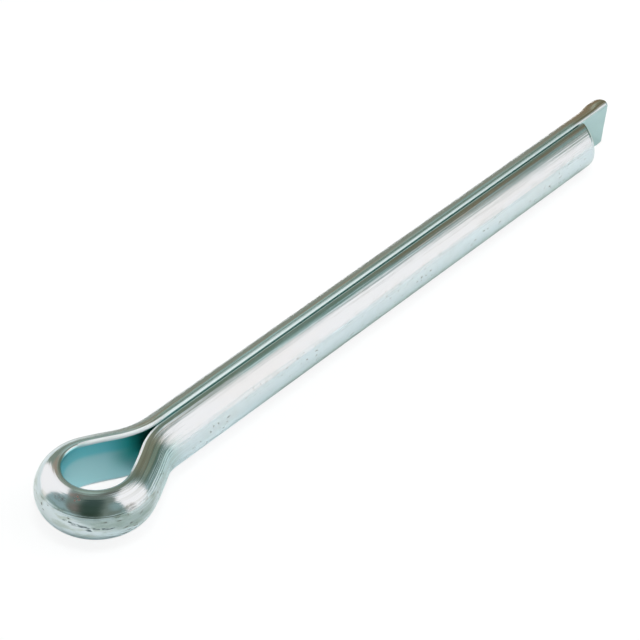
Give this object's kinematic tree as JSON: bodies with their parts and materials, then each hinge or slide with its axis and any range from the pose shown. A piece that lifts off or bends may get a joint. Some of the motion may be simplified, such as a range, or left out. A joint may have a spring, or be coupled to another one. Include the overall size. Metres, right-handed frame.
{
  "type": "cotter pin",
  "caption": "Split cotter pin bent from half-round steel wire: a round eye, and a closed shank of two prongs, one longer than the other.",
  "frame": {"origin": "on the shank's axis, under the eye, where the eye seats on the mouth of its hole", "axes": "+X along the shank towards the tips of the prongs, +Y towards the long prong's side, +Z along the hole of the eye"},
  "size_m": [0.057, 0.0075, 0.0034],
  "materials": {
    "zinc_plated_steel": "bright zinc plate with a pale blue passivate, over drawn steel wire"
  },
  "bodies": {
    "root": {"cotter_pin": "zinc_plated_steel"}
  },
  "joints": []
}
